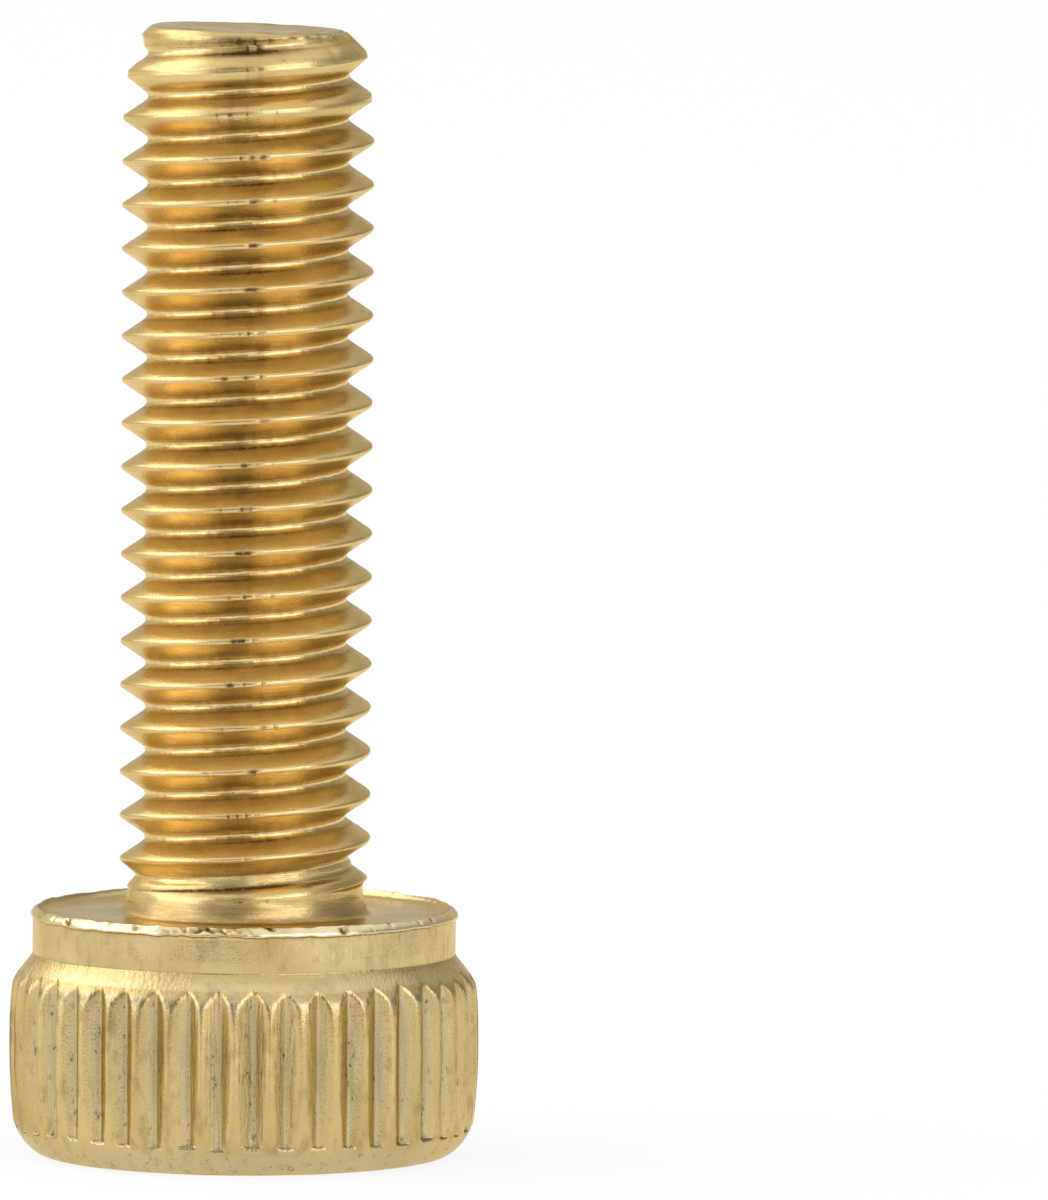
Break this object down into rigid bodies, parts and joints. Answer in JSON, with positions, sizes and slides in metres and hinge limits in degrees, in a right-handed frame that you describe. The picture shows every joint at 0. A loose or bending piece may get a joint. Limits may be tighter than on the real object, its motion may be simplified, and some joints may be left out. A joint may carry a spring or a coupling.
{
  "type": "socket head screw",
  "caption": "Brass M3 x 0.5 x 10 hexagon socket head cap screw with a straight-knurled head, standing on its head.",
  "frame": {"origin": "centre of the bearing face under the head, on the screw's axis", "axes": "+Z along the shank, from the bearing face to the tip; the head lies below Z = 0, and its socket end faces -Z; +X and +Y pass through corners and flats of the hexagon"},
  "size_m": [0.0054, 0.0054, 0.013],
  "materials": {
    "brass": "polished"
  },
  "bodies": {
    "root": {"screw": "brass"}
  },
  "joints": []
}
